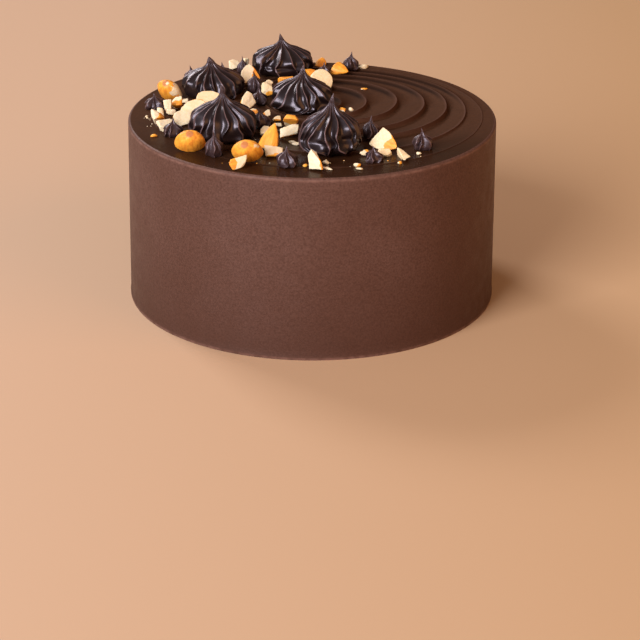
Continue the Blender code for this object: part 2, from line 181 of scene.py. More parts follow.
# A whole almond: blunt at -X, pointed at +X. Each piece sinks a little into the cake.
ALMOND_LENGTH = 24 * MM
ALMOND_WIDTH = 13.5 * MM
ALMOND_THICK = 8.6 * MM
BLUNT_POWER = 0.45
POINT_POWER = 0.85
SCAR_WIDE = 1.7 * MM
CUT_WANDER = math.radians(14)
SINK = 0.4 * MM
# A piece with more cuts than this also has corners knocked off.
CLEAN_CUTS = 2

# Size beside the whole almond, turn, raised end and roll in degrees, then what the cuts
# leave along the length, width and thickness in mm, where None leaves the skin.
Nut = namedtuple("Nut", "size turn raised roll length width thick")
WHOLE = (None, None)
NUTS = (
    Nut(0.88, 70, -50, 12, (None, -1), WHOLE, WHOLE),
    Nut(0.82, 100, -55, 0, (4, None), (-3, 3), (None, 1.5)),
    Nut(0.74, 80, 72, 0, (-4.4, 4.2), (-2, 2), (-2, 2)),
    Nut(0.62, 20, 0, 10, (-2.6, 2.6), (-2.4, 2.4), (-2, 2)),
    Nut(0.56, -20, 0, 0, (-3, 3.6), (-2, 2), (-1, 2)),
    Nut(0.62, 90, 60, 20, (-3.4, 3.0), (-2.5, 2.5), (-2, 2)),
    Nut(0.60, 110, 35, 50, (-5, 5), (-4, None), (-3, None)),
    Nut(0.62, 25, 5, 45, (-5.4, 6.4), (-4, 4), (-4, 0)),
    Nut(0.64, 25, 5, 50, (None, 4), (-5, 5), (None, 0)),
    Nut(0.58, 196, -8, -50, WHOLE, WHOLE, (None, 0)),
    Nut(0.60, 4, 5, 58, WHOLE, WHOLE, (None, 0)),
    Nut(0.98, 92, -50, 0, (None, -3), WHOLE, WHOLE),
    Nut(0.68, 70, 35, 60, (-5, 6), (-4, 5.5), (None, 0.5)),
    Nut(0.56, -25, 10, 20, (-4, 5), (-4, 4), (1, None)),
    Nut(0.68, -25, 5, 40, (3, None), (-4, 4), (None, 0)),
    Nut(0.62, 10, 0, 20, (-2.5, 2.5), (-2.2, 2.2), (-2, 1)),
    Nut(0.60, 8, 0, 0, (-2.4, 2.4), (-1.2, 1.2), (-1.2, 1.2)),
    Nut(0.66, -15, 8, -38, (-5, 5.4), (-5.6, 5.6), (-1.5, None)),
    Nut(0.72, 8, 5, 48, (-6.6, 6.4), (-3, 3.0), (None, 0)),
    Nut(0.58, 5, 0, 46, (-6.4, 4), (-3, 4), (None, 0)),
    Nut(0.70, 54, 60, 0, (-4.3, None), WHOLE, WHOLE),
    Nut(0.98, 80, -42, -8, (None, -3), WHOLE, WHOLE),
    Nut(0.68, 10, 0, 64, (-5.6, 5.2), (-3.8, 3.0), (-2.4, 0.2)),
    Nut(0.72, 12, 6, 60, (-5.6, 6.8), (-4, 4), (1, None)),
    Nut(0.80, 20, 0, 75, (-3.2, 3.2), (-2.6, 2.8), (-2, 1)),
    Nut(0.66, 70, 70, 60, (-3.2, 3.2), (-2.2, 2.2), (-2, 1)),
    Nut(0.80, 94, 60, 0, (-2.2, None), WHOLE, (None, 0)),
    Nut(0.50, 30, 40, 50, (-3.4, 3.2), (-3, 3), (-2, 1)),
    Nut(0.60, -80, -50, 0, (-6, 5), (-4, 4), (None, 1)),
    Nut(0.66, 15, 8, -46, (-5, 6), WHOLE, (0.5, None)),
    Nut(0.52, 60, 50, 30, (-4, 6.4), WHOLE, (1, None)),
    Nut(0.66, -32, -5, 35, (1, None), WHOLE, (-1, None)),
    Nut(0.78, -85, -20, 0, (None, 2), WHOLE, (None, 0)),
    Nut(0.56, 40, 10, 20, (-4, 5), (-5, 5), (0, None)),
    Nut(0.72, 100, 62, -20, (-2, None), (-4, 4), (None, 0.5)),
    Nut(0.70, -40, -14, 56, (-5.6, None), WHOLE, (None, 0)),
    Nut(0.48, 38, 0, 30, (-3.5, 4), (-3, 3), (-2, 1)),
    Nut(0.54, -10, 0, 50, (-6.4, 4.4), (-3.5, 3), (-2, 2)),
    Nut(0.80, -62, 0, 0, (-9, 7), (-2, 3), (-1, 1)),
)

# Where a chopped piece still has its skin: direction round and up, and how far it
# reaches round from there, in degrees. The first ones have none, and a piece that isn't
# named keeps what the cuts leave.
Skin = namedtuple("Skin", "towards up reach")
SKINS = {
    **dict.fromkeys((3, 4, 5, 6, 8, 17, 20, 25, 26, 28, 39), Skin(0, 0, -30)),
    1: Skin(215, 25, 100),
    2: Skin(285, -5, 62),
    7: Skin(335, 5, 52),
    9: Skin(190, -5, 46),
    13: Skin(165, -5, 52),
    14: Skin(280, 25, 75),
    15: Skin(195, 0, 58),
    16: Skin(265, -25, 55),
    18: Skin(300, 40, 105),
    19: Skin(270, -60, 45),
    23: Skin(195, 0, 78),
    24: Skin(300, -55, 62),
    27: Skin(10, 0, 62),
    29: Skin(320, -40, 55),
    30: Skin(110, 60, 120),
    31: Skin(270, 30, 130),
    33: Skin(250, -70, 40),
    34: Skin(250, 40, 100),
    35: Skin(335, -5, 60),
    36: Skin(325, -25, 76),
    37: Skin(20, 50, 45),
    38: Skin(120, 50, 50),
}
# Pale places where the skin has come off: direction round and up, and width in degrees.
BARE = {1: (Skin(262, 45, 16), Skin(312, 10, 34)), 22: (Skin(330, 30, 15),)}
# Pieces with no corner knocked off.
SHARP = (9, 10, 11, 27, 33, 36)

# Small chips: x, y, length, width, height in mm, turn in degrees, part that is skin.
CHIPS = (
    (-67.6, -29.5, 3.4, 2.0, 1.4, 20, 0.9),
    (-72.6, -3.3, 2.0, 1.6, 1.2, 70, 0.0),
    (-2.9, -66.8, 2.2, 1.8, 1.3, 10, 0.9),
    (5.8, -63.5, 3.2, 2.4, 2.0, -40, 0.0),
    (6.4, -69.6, 4.6, 1.8, 1.1, -35, 0.0),
    (18.5, -66.2, 3.6, 1.8, 1.8, -15, 0.5),
    (19.6, -69.6, 3.8, 2.0, 1.2, -20, 0.0),
    (44.8, -50.6, 2.2, 2.0, 1.4, 0, 0.4),
    (36.4, -62.0, 2.0, 1.6, 1.2, 30, 0.5),
    (-8.4, -36.8, 4.2, 1.7, 1.4, 5, 0.0),
    (-7.0, -39.6, 4.4, 1.7, 1.4, 2, 0.0),
    (13.4, 7.6, 4.0, 2.8, 2.6, -40, 0.8),
    (17.2, 6.2, 3.2, 1.8, 1.6, -50, 0.0),
    (24.0, 71.8, 4.6, 3.0, 2.4, 15, 0.0),
    (23.6, 41.1, 4.4, 1.6, 1.0, 0, 0.7),
    (-48.8, 49.8, 3.4, 2.6, 2.2, 40, 0.3),
)

# Where crumbs lie thickest: x, y and spread in mm, and how many. None lies on the rim.
RIM_CLEAR = 3 * MM
CRUMB_PALE = 0.7
SPILLS = (
    (-72, -5, 3, 7),
    (-70, -14, 3, 4),
    (-62, -30, 4, 3),
    (-58, 5, 6, 4),
    (-34, -62, 4, 3),
    (-14, -60, 8, 4),
    (4, -68, 8, 5),
    (22, -64, 9, 5),
    (40, -56, 6, 2),
    (-22, -34, 7, 4),
    (-24, 2, 7, 4),
    (-22, 36, 6, 3),
    (8, 46, 7, 2),
)


# Settings


def setting(kind, **limits):
    """A short way to declare settings of one kind."""

    def declare(label, help_text, value):
        return kind(name=label, description=help_text, default=value, **limits)

    return declare


length = setting(FloatProperty, min=0.0, unit="LENGTH")
share = setting(FloatProperty, min=0.0, max=1.0, subtype="FACTOR")
colour = setting(FloatVectorProperty, min=0.0, max=1.0, subtype="COLOR")
count = setting(IntProperty, min=3)
turning = setting(FloatProperty, unit="ROTATION")
power = setting(FloatProperty, unit="POWER")
strength = setting(FloatProperty, min=0.0)


class CakeLooks(bpy.types.PropertyGroup):
    steps: count("Steps", "Steps round the cake", 540)
    valley_depth: length("Valley depth", "Depth of the combed valleys", 2.1 * MM)
    valley_lean: share("Valley lean", "Less leans them more to the centre", 0.3)
    wobble: length("Wobble", "How far crests stray from circles", 0.5 * MM)
    side_light: colour("Side, light", "Lighter brown of the side", (0.112, 0.0565, 0.0435))
    side_dark: colour("Side, dark", "Darker brown of the side", (0.092, 0.0425, 0.0300))
    # Painted shade: the side is darkened towards the foot with this brown.
    side_painted_shade: colour("Side, low", "Brown of the side near the foot", (0.045, 0.0165, 0.0095))
    side_speck: colour("Specks", "Dark specks of the side", (0.046, 0.0195, 0.0130))
    top_matte: colour("Top, matte", "Brown of the set top", (0.062, 0.0255, 0.0122))
    top_glossy: colour("Top, glossy", "Brown of the glossy part", (0.027, 0.0105, 0.0048))
    # A painted shadow: near-black just inside the crests behind the centre.
    top_painted_shade: colour("Top, dips", "Near-black beside crests behind", (0.0125, 0.0042, 0.0017))
    # Pale patches along the rim, partly real bloom and partly a painted highlight; along the
    # foot, a painted highlight.
    edge_bloom_and_highlight: colour("Rim bloom", "Pinkish bloom of the rim", (0.27, 0.145, 0.115))
    side_roughness: share("Side roughness", "Roughness of the side", 0.46)
    top_roughness: share("Top roughness", "Roughness of the set top", 0.82)


class DollopLooks(bpy.types.PropertyGroup):
    steps_per_flute: count("Steps per flute", "Steps from one ridge to the next", 12)
    rings: count("Rings", "Rings from the tip to the foot", 64)
    sway: turning("Sway", "Wander of the ridges at the foot", 0.5)
    slim: share("Slim tip", "How much thinner the tip is", 0.32)
    sink: length("Sink", "How deep the foot sits in the cake", 0.6 * MM)
    valley: colour("Valley", "Near-black between the ridges", (0.0095, 0.0050, 0.0050))
    # Paler brown: a painted highlight along the ridges, and the colour of the drier tips.
    ridge: colour("Ridge", "Paler brown along the ridges", (0.140, 0.078, 0.074))
    gloss: colour("Gloss", "Tint of the ganache's reflections", (0.96, 0.86, 0.98))
    roughness: share("Roughness", "Roughness of fresh ganache", 0.29)


class AlmondLooks(bpy.types.PropertyGroup):
    voxel: length("Voxel", "Cell size of the almonds", 0.3 * MM)
    rounding: count("Rounding", "Smoothing passes over cut edges", 7)
    corners: count("Broken corners", "Corners knocked off each piece", 5)
    wrinkle: length("Wrinkle", "Depth of the skin's wrinkles", 0.13 * MM)
    fracture: length("Fracture", "Relief of the cut flesh", 0.16 * MM)
    skin_light: colour("Skin, light", "Amber of the skin", (0.90, 0.40, 0.045))
    skin_dark: colour("Skin, dark", "Brown in the skin's wrinkles", (0.66, 0.225, 0.022))
    scar: colour("Scar", "Pinkish brown of the blunt end", (0.36, 0.12, 0.05))
    flesh: colour("Flesh", "Cream of the cut almond", (0.74, 0.555, 0.315))
    flesh_pale: colour("Pale flesh", "Whiter flesh of some pieces", (0.755, 0.625, 0.43))


class StageLooks(bpy.types.PropertyGroup):
    floor: colour("Floor", "Pale beige floor", (0.508, 0.333, 0.216))
    # Painted warm light on the right of the floor.
    floor_painted_warm_light: colour("Floor, warm", "Warmer beige towards the right", (0.432, 0.262, 0.132))
    room_low: colour("Room, dim", "Light from behind and overhead", (0.34, 0.25, 0.19))
    room_high: colour("Room, bright", "Light from the front left", (1.0, 0.92, 0.93))
    room: strength("Room", "Strength of the even light", 0.56)
    key_power: power("Key", "Power of the light at the front left", 200.0)
    fill_power: power("Fill", "Power of the light at the right", 18.0)
    window_power: power("Window", "Power of the light behind the cake", 88.0)


# Materials


class Shade:
    """A material's node tree, with short ways to add and join nodes."""

    def __init__(self, name, base, roughness, **others):
        self.material = bpy.data.materials.new(name)
        self.material.use_nodes = True
        self.material.diffuse_color = (*base, 1.0)
        self.tree = self.material.node_tree
        self.shader = self.tree.nodes["Principled BSDF"]
        self.feed(self.shader, {"Base Color": base, "Roughness": roughness, **others})

    def feed(self, node, inputs):
        """Sets inputs to numbers or colours, or links them to outputs. None does neither."""
        for key, value in inputs.items():
            socket = node.inputs[key]
            if isinstance(value, bpy.types.NodeSocket):
                self.tree.links.new(value, socket)
            elif value is not None:
                socket.default_value = (*value, 1.0) if socket.type == "RGBA" else value

    def add(self, kind, output, inputs, **settings):
        """Adds a node with these inputs and settings, and returns one of its outputs."""
        node = self.tree.nodes.new(kind)
        for key, value in settings.items():
            setattr(node, key, value)
        self.feed(node, inputs)
        return node.outputs[output]

    def attribute(self, name, times=None):
        """A number kept on the mesh, multiplied when asked."""
        kept = self.add("ShaderNodeAttribute", "Fac", {}, attribute_name=name)
        return kept if times is None else self.maths("MULTIPLY", kept, times)

    def noise(self, size, detail=3.0, roughness=0.55, stretch=(1.0, 1.0, 1.0)):
        """Noise over the object, from 0 to 1, with features of about this size."""
        place = self.add("ShaderNodeTexCoord", "Object", {})
        place = self.add("ShaderNodeMapping", "Vector", {"Vector": place, "Scale": stretch})
        inputs = {"Vector": place, "Scale": 1 / size, "Detail": detail, "Roughness": roughness}
        return self.add("ShaderNodeTexNoise", "Fac", inputs)

    def between(self, value, low, high, to_low=0.0, to_high=1.0):
        """Maps a number from one range onto another, clamped."""
        inputs = {"Value": value, "From Min": low, "From Max": high}
        inputs.update({"To Min": to_low, "To Max": to_high})
        return self.add("ShaderNodeMapRange", "Result", inputs)

    def maths(self, operation, first, second):
        return self.add("ShaderNodeMath", 0, {0: first, 1: second}, operation=operation)

    def mix(self, factor, first, second):
        """Mixes two colours."""
        inputs = {"Factor": factor, 6: first, 7: second}
        return self.add("ShaderNodeMix", 2, inputs, data_type="RGBA")

    def bump(self, height, strength, distance, before=None):
        inputs = {"Height": height, "Strength": strength, "Distance": distance}
        return self.add("ShaderNodeBump", "Normal", {**inputs, "Normal": before})

    def finish(self, base, roughness=None, normal=None):
        inputs = {"Base Color": base, "Roughness": roughness, "Normal": normal}
        self.feed(self.shader, inputs)
        return self.material


def side_ganache(looks):
    """Satin ganache, smoothed and finely mottled."""
    shine = {"Specular IOR Level": 0.12}
    shade = Shade("side_ganache", looks.side_light, looks.side_roughness, **shine)
    broad = shade.between(shade.noise(34 * MM, 3), 0.35, 0.68, 0.1, 0.8)
    fine = shade.noise(0.85 * MM, 4, 0.65)
    base = shade.mix(broad, looks.side_light, looks.side_dark)
    # Painted shade towards the foot.
    base = shade.mix(shade.attribute("low", 0.6), base, looks.side_painted_shade)
    speck = shade.between(fine, 0.38, 0.64, 0.0, 0.6)
    base = shade.mix(speck, base, looks.side_speck)
    # Bloom and painted highlight along the rim and the foot.
    base = shade.mix(shade.attribute("bloom", 0.5), base, looks.edge_bloom_and_highlight)
    roughness = shade.between(shade.noise(6 * MM, 4), 0.3, 0.7, 0.40, 0.54)
    pores = shade.bump(fine, 0.35, 0.25 * MM)
    swept = shade.noise(5 * MM, 3, 0.5, (1.0, 1.0, 3.0))
    normal = shade.bump(swept, 0.25, 0.35 * MM, pores)
    return shade.finish(base, roughness, normal)


def top_ganache(looks):
    """The combed top: set and matte on one side, wet and glossy on the other."""
    shine = {"Specular IOR Level": 0.06}
    shade = Shade("top_ganache", looks.top_matte, looks.top_roughness, **shine)
    wet = shade.attribute("wet")
    fine = shade.noise(1.3 * MM, 4)
    spots = shade.between(fine, 0.3, 0.7, 0.0, 0.4)
    base = shade.mix(spots, looks.top_matte, looks.top_glossy)
    base = shade.mix(wet, base, looks.top_glossy)
    # Painted highlight: the lit crests are mixed towards the lighter side brown.
    base = shade.mix(shade.attribute("crest", 0.45), base, looks.side_light)
    # Painted shadow just inside the crests behind.
    base = shade.mix(shade.attribute("dip"), base, looks.top_painted_shade)
    # Bloom and painted highlight along the rim.
    base = shade.mix(shade.attribute("bloom", 0.5), base, looks.edge_bloom_and_highlight)
    roughness = shade.between(wet, 0.0, 1.0, looks.top_roughness, 0.24)
    pores = shade.bump(fine, 0.25, 0.15 * MM)
    normal = shade.bump(shade.noise(7 * MM, 2), 0.3, 0.4 * MM, pores)
    return shade.finish(base, roughness, normal)


def piped_ganache(looks, name, lighter, roughness):
    """Fresh piped ganache, glossy in its valleys and dry along its ridges, where a paler
    colour is a painted highlight.
    """
    valley = [channel * lighter for channel in looks.valley]
    shade = Shade(name, valley, roughness, **{"Specular Tint": looks.gloss})
    ridge = shade.between(shade.attribute("crest"), 0.4, 1.0)
    # Painted highlight along the ridges.
    base = shade.mix(ridge, valley, looks.ridge)
    base = shade.mix(shade.attribute("tip", 0.3), base, looks.ridge)
    dry = shade.maths("MAXIMUM", ridge, shade.attribute("tip", 0.35))
    roughness = shade.between(dry, 0.0, 1.0, roughness, 0.45)
    ripple = shade.bump(shade.noise(2.6 * MM, 3), 0.25, 0.3 * MM)
    return shade.finish(base, roughness, ripple)


def almond_finish(looks):
    """Amber skin with lengthwise wrinkles, and cream flesh in the cuts."""
    depth = {"Subsurface Weight": 0.12, "Subsurface Radius": (1.0, 0.75, 0.45)}
    depth.update({"Subsurface Scale": 1.2 * MM, "Specular IOR Level": 0.35})
    shade = Shade("chopped_almond", looks.skin_light, 0.5, **depth)
    wrinkles = shade.noise(1.5 * MM, 5, 0.6, (0.22, 1.0, 1.0))
    blush = shade.noise(6 * MM, 2)
    skin = shade.mix(shade.between(wrinkles, 0.36, 0.6), looks.skin_dark, looks.skin_light)
    skin = shade.mix(shade.between(blush, 0.45, 0.75, 0.0, 0.55), skin, looks.skin_dark)
    scar = shade.between(shade.attribute("scar"), 0.3, 0.5, 0.0, 0.8)
    skin = shade.mix(scar, skin, looks.scar)
    grain = shade.noise(1.0 * MM, 4)
    uneven = shade.between(grain, 0.3, 0.7, -0.5, 0.5)
    pale = shade.maths("ADD", shade.attribute("pale"), uneven)
    flesh = shade.mix(shade.between(pale, 0.0, 1.0), looks.flesh, looks.flesh_pale)
    frayed = shade.between(grain, 0.3, 0.7, -0.25, 0.25)
    bare = shade.maths("ADD", shade.attribute("flesh"), frayed)
    base = shade.mix(shade.between(bare, 0.42, 0.58), skin, flesh)
    roughness = shade.between(wrinkles, 0.3, 0.7, 0.58, 0.42)
    normal = shade.bump(wrinkles, 0.35, 0.2 * MM, shade.bump(grain, 0.2, 0.15 * MM))
    return shade.finish(base, roughness, normal)


# Meshes


def new_object(name, data):
    made = bpy.data.objects.new(name, data)
    bpy.context.scene.collection.objects.link(made)
    return made


def applied(source):
    """The mesh that an object's modifiers make. The object itself goes."""
    plain = source.data
    graph = bpy.context.evaluated_depsgraph_get()
    mesh = bpy.data.meshes.new_from_object(source.evaluated_get(graph))
    bpy.data.objects.remove(source)
    bpy.data.meshes.remove(plain)
    return mesh


def turned(name, outline, steps):
    """Turns an outline of (radius, height) points, top first, into a mesh object."""
    wire = bpy.data.meshes.new(name + "_outline")
    points = [(radius, 0.0, height) for radius, height in outline]
    wire.from_pydata(points, [(i, i + 1) for i in range(len(points) - 1)], [])
    source = new_object(name + "_outline", wire)
    screw = source.modifiers.new("turn", "SCREW")
    screw.steps = steps
    screw.render_steps = steps
    screw.use_merge_vertices = True
    screw.merge_threshold = 0.01 * MM
    mesh = applied(source)
    work = bmesh.new()
    work.from_mesh(mesh)
    bmesh.ops.remove_doubles(work, verts=work.verts, dist=0.003 * MM)
    bmesh.ops.recalc_face_normals(work, faces=work.faces)
    work.to_mesh(mesh)
    work.free()
    return new_object(name, mesh)


def record_values(mesh, **layers):
    """Keeps lists of one number for each vertex as named attributes."""
    for name, values in layers.items():
        layer = mesh.attributes.new(name, "FLOAT", "POINT")
        layer.data.foreach_set("value", values)


def place_on_root(piece, slot, *nodes):
    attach(piece, "root")
    if nodes:
        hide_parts(*nodes)


def hill(value, wide):
    """1 at zero, falling smoothly away over the width."""
    return math.exp(-((value / wide) ** 2))


def clamped(value):
    """The value, kept from 0 to 1."""
    return min(max(value, 0.0), 1.0)


def wrapped(angle):
    """The angle from -pi to pi."""
    return (angle + math.pi) % math.tau - math.pi


# The cake


def crest_offset(radius):
    """Centre of the circle of this radius, how far it lies across its band, and which band."""
    inner = (CRESTS[0][0], CRESTS[0][1], 0.0)
    for band, outer in enumerate(CRESTS):
        if radius <= outer[2] + TINY:
            part = (radius - inner[2]) / (outer[2] - inner[2])
            centre_x = inner[0] + part * (outer[0] - inner[0])
            centre_y = inner[1] + part * (outer[1] - inner[1])
            return centre_x, centre_y, clamped(part), band
        inner = outer
    return 0.0, 0.0, 0.0, len(CRESTS)


def comb(point, looks):
    """Moves a point of the flat top onto the combed one.

    Returns how near a lit crest it is, for a painted highlight, and how near the foot of one
    behind, for a painted shadow.
    """
    radius = math.hypot(point.x, point.y)
    angle = math.atan2(point.y, point.x)
    centre_x, centre_y, part, band = crest_offset(radius)
    inside = clamped((CAKE_RADIUS - LIP - radius) / (6 * MM))
    spot = Vector((math.cos(angle) * 1.7, math.sin(angle) * 1.7, radius * 60))
    radius += looks.wobble * noise.noise(spot) * inside
    point.x = centre_x + radius * math.cos(angle)
    point.y = centre_y + radius * math.sin(angle)
    from_axis = math.hypot(point.x, point.y) / CAKE_RADIUS
    evenness = 0.5 + 0.5 * math.cos(angle - DEEPEST_ANGLE)
    clear = SHALLOW_BANDS.get(band, 1.0)
    depth = looks.valley_depth * (SHALLOWEST + (1 - SHALLOWEST) * evenness) * clear
    behind = max(0.0, math.sin(angle - BEHIND_FROM))
    leaning = part ** (looks.valley_lean + LEAN_BEHIND * behind)
    point.z += DOME * (1 - from_axis**2) - depth * 4 * leaning * (1 - leaning)
    point.z += DENT * noise.noise(Vector(point) * DENTS_PER_METRE) * inside
    # Painted highlight along the crests, strongest at the right and behind.
    inner_side = hill(1 - part, 0.06) * (1 - behind)
    outer_side = (0.6 + 0.5 * behind) * hill(part, 0.03 + 0.12 * behind)
    lit = (0.3 * behind + evenness) * (inner_side + outer_side)
    # Painted shadow just inside each crest behind, fading in from the right.
    dark = clamped(2.6 * (behind - 0.1)) * hill(part - 0.9, 0.09)
    return clear * lit, clear * dark


def cake_outline():
    """Rings from the centre out, closest together beside each crest."""
    parts = (0.012, 0.03, 0.06, 0.1, 0.16, 0.24, 0.34, 0.46)
    parts += (0.58, 0.7, 0.8, 0.88, 0.94, 0.975, 1.0)
    rings = [(0.0, CAKE_HEIGHT)]
    inner = 0.0
    for _, _, crest in CRESTS:
        rings += [(inner + (crest - inner) * part, CAKE_HEIGHT) for part in parts]
        inner = crest
    for step in range(1, 9):
        angle = math.pi / 2 * (1 - step / 8)
        radius = CAKE_RADIUS - LIP + LIP * math.cos(angle)
        rings.append((radius, CAKE_HEIGHT - LIP + LIP * math.sin(angle)))
    below_lip = [0.3, 0.7, 1.2, 1.8, 2.6] + [3.4 * step for step in range(1, 23)]
    for below in below_lip:
        height = CAKE_HEIGHT - LIP - below * MM
        part = (CAKE_HEIGHT - LIP - height) / (CAKE_HEIGHT - LIP - FOOT_HEIGHT)
        rings.append((CAKE_RADIUS + (FOOT_RADIUS - CAKE_RADIUS) * part, height))
    flared = FOOT_RADIUS + FOOT_FLARE
    rings.append((FOOT_RADIUS, FOOT_HEIGHT))
    rings += [(flared, 0.7 * FOOT_HEIGHT), (flared, FOOT_HEIGHT / 2), (flared, 0.2 * MM)]
    rings += [(FOOT_RADIUS, 0.0), (0.0, 0.0)]
    return rings


def wetness(point):
    """How wet the top looks: 1 in front, 0 at the right and behind."""
    angle = math.atan2(point.y, point.x)
    turned_from = wrapped(angle - WETTEST_ANGLE)
    reach = WET_RIGHT if turned_from > 0 else WET_LEFT
    edge = clamped((reach - abs(turned_from)) / WET_FADE)
    ragged = 0.18 * noise.noise(Vector(point) * 45)
    from_centre = math.hypot(point.x, point.y)
    inner = min(1.0, from_centre / (30 * MM))
    outer = clamped((from_centre - 60 * MM) / (9 * MM))
    smooth = 0.55 * outer * hill(wrapped(angle - SMOOTH_ANGLE), SMOOTH_WIDE)
    return clamped(edge * inner + smooth + ragged)


def paleness(point, radius, height):
    """How pale the ganache is, in patches along the rim and the foot: from 0 to 1. Along the
    rim this is partly real bloom and partly a painted highlight on the rounded edge; along the
    foot it is a painted highlight.
    """
    from_rim = math.hypot(radius - CAKE_RADIUS, height - CAKE_HEIGHT + LIP)
    along_foot = 1.8 * hill(height - 0.4 * MM, 0.6 * MM)
    patch = 0.55 + 0.6 * noise.noise(Vector((point.x, point.y, 0.0)) * 390)
    return clamped(patch * (hill(from_rim, 0.5 * MM) + along_foot))


class CAKE_OT_body(bpy.types.Operator):
    """Builds the cake with its combed top and smooth side"""

    bl_idname = "cake.body"
    bl_label = "Build the Cake"

    def execute(self, context):
        looks = context.scene.cake_looks
        cake = turned("ganache_cake", cake_outline(), looks.steps)
        mesh = cake.data
        crests, bloom, wet, low, on_top = [], [], [], [], []
        for vertex in mesh.vertices:
            flat_height = vertex.co.z
            radius = math.hypot(vertex.co.x, vertex.co.y)
            on_top.append(flat_height > CAKE_HEIGHT - TINY)
            crests.append(comb(vertex.co, looks) if on_top[-1] else (0.0, 0.0))
            bloom.append(paleness(vertex.co, radius, flat_height))
            wet.append(wetness(vertex.co) if on_top[-1] else 0.0)
            # How far painted shade darkens the side towards the foot.
            low.append(max(0.0, 1 - flat_height / (0.6 * CAKE_HEIGHT)))
            if not on_top[-1] and flat_height > 0.0:
                sway = noise.noise(Vector((vertex.co.x, vertex.co.y, vertex.co.z * 0.5)) * 22)
                vertex.co.xy *= 1 + SIDE_SWAY * (sway - 0.5)
        lit, dark = zip(*crests)
        record_values(mesh, crest=lit, dip=dark, bloom=bloom, low=low, wet=wet)
        mesh.materials.append(top_ganache(looks))
        mesh.materials.append(side_ganache(looks))
        for face in mesh.polygons:
            face.material_index = 0 if all(on_top[index] for index in face.vertices) else 1
        mesh.shade_smooth()
        mesh.set_sharp_from_angle(angle=math.radians(60))
        place_on_root(cake, "ganache", "cake")
        return {"FINISHED"}


# Dollops


def smooth_outline(points, count_of):
    """The outline as many points on one smooth curve through the given ones."""
    ends = [points[0]] + list(points) + [points[-1]]
    found = []
    for step in range(count_of + 1):
        at = step / count_of * (len(points) - 1)
        index = min(int(at), len(points) - 2)
        part = at - index
        corner = [Vector(ends[index + k]) for k in range(4)]
        smooth = (
            2 * corner[1]
            + (corner[2] - corner[0]) * part
            + (2 * corner[0] - 5 * corner[1] + 4 * corner[2] - corner[3]) * part**2
            + (3 * corner[1] - corner[0] - 3 * corner[2] + corner[3]) * part**3
        ) / 2
        found.append((max(0.0, smooth.x), max(0.0, smooth.y)))
    found[0], found[-1] = points[0], points[-1]
    return found


def ridge_fade(at, flutes, draw):
    """How far the ridge nearest to this place dies out towards the foot, from 0 to 1."""
    own = random.Random(f"{round(at) % flutes} {draw}").random()
    return clamped((own - 0.5) * 3)


def flute(point, dollop, flutes, depth, draw, swells, sway):
    """Moves a point of the turned form onto the piped one. Returns how near a ridge it is."""
    radius = math.hypot(point.x, point.y)
    height = point.z / (dollop.height * MM)
    angle = math.atan2(point.y, point.x)
    # Valleys between the ridges, where some ridges die out towards the foot.
    valley = math.sin(math.pi * ((angle / math.tau * flutes) % 1.0)) ** 0.9
    fading = ridge_fade(angle / math.tau * flutes, flutes, draw) * max(0.0, 1 - 2.2 * height)
    valley += (1 - valley) * fading
    strength = 1.05 + 0.35 * math.sin(3 * angle + draw) + 1.8 * max(0.0, height - 0.2)
    radius *= 1 - depth * strength * valley * min(1.0, 6 * (1 - height))
    radius *= 1 + LUMP * math.sin(2 * angle + draw) * math.sin(math.pi * (1 - height))
    # The ridges' spacing, their twist and the wander of their lower ends.
    angle += FLUTE_UNEVEN / flutes * math.tau * math.sin(3 * angle + 2 * draw)
    angle += math.radians(dollop.twist) * math.sin(math.pi * min(1.0, 1.6 * height))
    angle += math.radians(dollop.curl) * max(0.0, 1 - 4 * height) ** 2
    around = Vector((2.2 * math.cos(angle), 2.2 * math.sin(angle), draw * 3.1 + height * 4))
    angle += sway * noise.noise(around) * max(0.0, 1 - 1.6 * height) ** 1.2
    for swell in swells:
        off = wrapped(angle - math.radians(swell.towards)) / math.radians(swell.wide)
        radius *= 1 + swell.out * hill(off, 1.0) * hill(height - swell.height, swell.tall)
    fine = Vector((3 * math.cos(angle), 3 * math.sin(angle), height * 5 + draw))
    radius *= 1 + 0.035 * noise.noise(fine) * min(1.0, 5 * (1 - height))
    bend = dollop.bend * MM * height**5
    point.x = radius * math.cos(angle) + bend * math.cos(math.radians(dollop.bend_to))
    point.y = radius * math.sin(angle) + bend * math.sin(math.radians(dollop.bend_to))
    return 1 - valley


def pipe_dollop(node, dollop, flutes, depth, looks, draw, swells, finish):
    """Builds one dollop in its node's place."""
    half, tall = dollop.width * MM / 2, dollop.height * MM
    points = []
    for part, rise in smooth_outline(DOLLOP_OUTLINE, looks.rings):
        slim = 1 - looks.slim * clamped((rise - 0.6) / 0.25)
        points.append((part**dollop.neck * half * slim, rise * tall))
    piece = turned(f"piped_{node}", points + [(0.0, 0.0)], looks.steps_per_flute * flutes)
    crest, tip = [], []
    for vertex in piece.data.vertices:
        radius = math.hypot(vertex.co.x, vertex.co.y)
        height = vertex.co.z / tall
        near = 0.0
        if radius > TINY or vertex.co.z > MM:
            near = flute(vertex.co, dollop, flutes, depth, draw, swells, looks.sway)
        tip.append(clamped((height - 0.62) / 0.3))
        # The painted highlight along a ridge is thinner towards the foot.
        crest.append(near ** (3 + 5 * max(0.0, 0.6 - height)) * (1 - 0.5 * tip[-1]))
    record_values(piece.data, crest=crest, tip=tip)
    piece.data.materials.append(finish)
    piece.data.shade_smooth()
    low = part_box(node)[0]
    piece.location = (dollop.x * MM, dollop.y * MM, low.z - looks.sink)
    place_on_root(piece, "piped_ganache", node)


